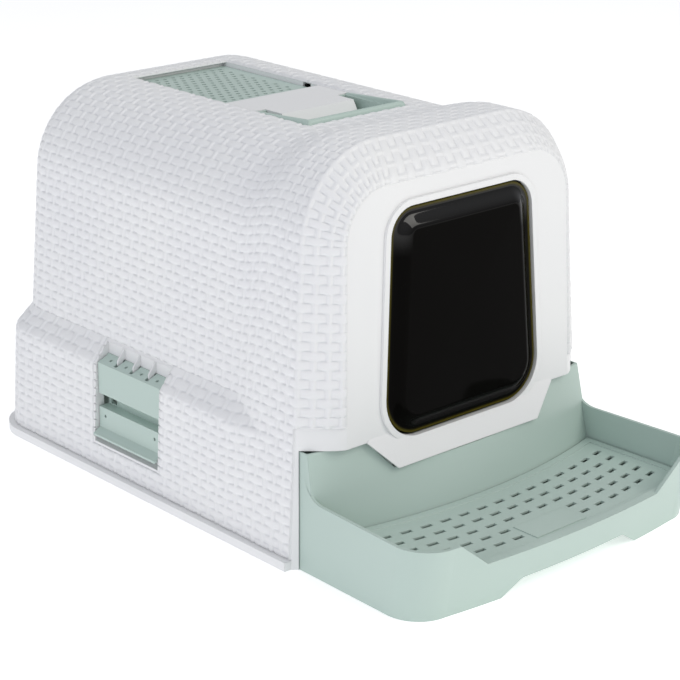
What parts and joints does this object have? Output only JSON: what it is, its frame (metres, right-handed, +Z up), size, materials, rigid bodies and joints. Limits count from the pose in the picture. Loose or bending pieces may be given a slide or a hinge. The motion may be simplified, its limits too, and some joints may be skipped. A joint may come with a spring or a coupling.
{
  "type": "covered litter box",
  "caption": "Covered cat litter box: white basket-weave hood with a smoke door flap, over a pull-out green drawer with an entry porch.",
  "frame": {"origin": "on the floor, under the middle of the whole box's length and width", "axes": "+X to the right of someone facing the door from in front; +Y to the back, away from the door and the porch; +Z up"},
  "size_m": [0.4, 0.6569, 0.38],
  "materials": {
    "white_moulding": "satin moulded polypropylene",
    "green_moulding": "satin moulded polypropylene",
    "smoke_sheet": "glossy smoke-tinted moulding",
    "carbon_felt": "needled felt"
  },
  "bodies": {
    "hood": {"hood_shell": "white_moulding", "carry_handle": "white_moulding", "handle_cup": "green_moulding", "filter_pad": "carbon_felt"},
    "flap": {"door_flap": "smoke_sheet"},
    "pan": {"drawer": "green_moulding"},
    "grid": {"step_grid": "green_moulding"},
    "grille": {"vent_grille": "green_moulding"},
    "left_latch": {"latch_left": "green_moulding"},
    "right_latch": {"latch_right": "green_moulding"}
  },
  "joints": [
    {"name": "flap_swing", "type": "hinge", "parent": "hood", "child": "flap", "pos_m": [0, -0.16466, 0.293], "axis": [1, 0, 0], "range_deg": [-75, 75]},
    {"name": "drawer_slide", "type": "slide", "parent": "hood", "child": "pan", "axis": [0, -1, 0], "range_m": [0, 0.42]},
    {"name": "grid_lift", "type": "slide", "parent": "pan", "child": "grid", "axis": [0, 0, 1], "range_m": [0, 0.12]},
    {"name": "grille_open", "type": "hinge", "parent": "hood", "child": "grille", "pos_m": [0, 0.1004, 0.3615], "axis": [1, 0, 0], "range_deg": [0, 85]},
    {"name": "left_latch_swing", "type": "hinge", "parent": "hood", "child": "left_latch", "pos_m": [-0.1717, 0.0975, 0.12], "axis": [0, 1, 0], "range_deg": [0, 50]},
    {"name": "right_latch_swing", "type": "hinge", "parent": "hood", "child": "right_latch", "pos_m": [0.1717, 0.0975, 0.12], "axis": [0, -1, 0], "range_deg": [0, 50]}
  ]
}
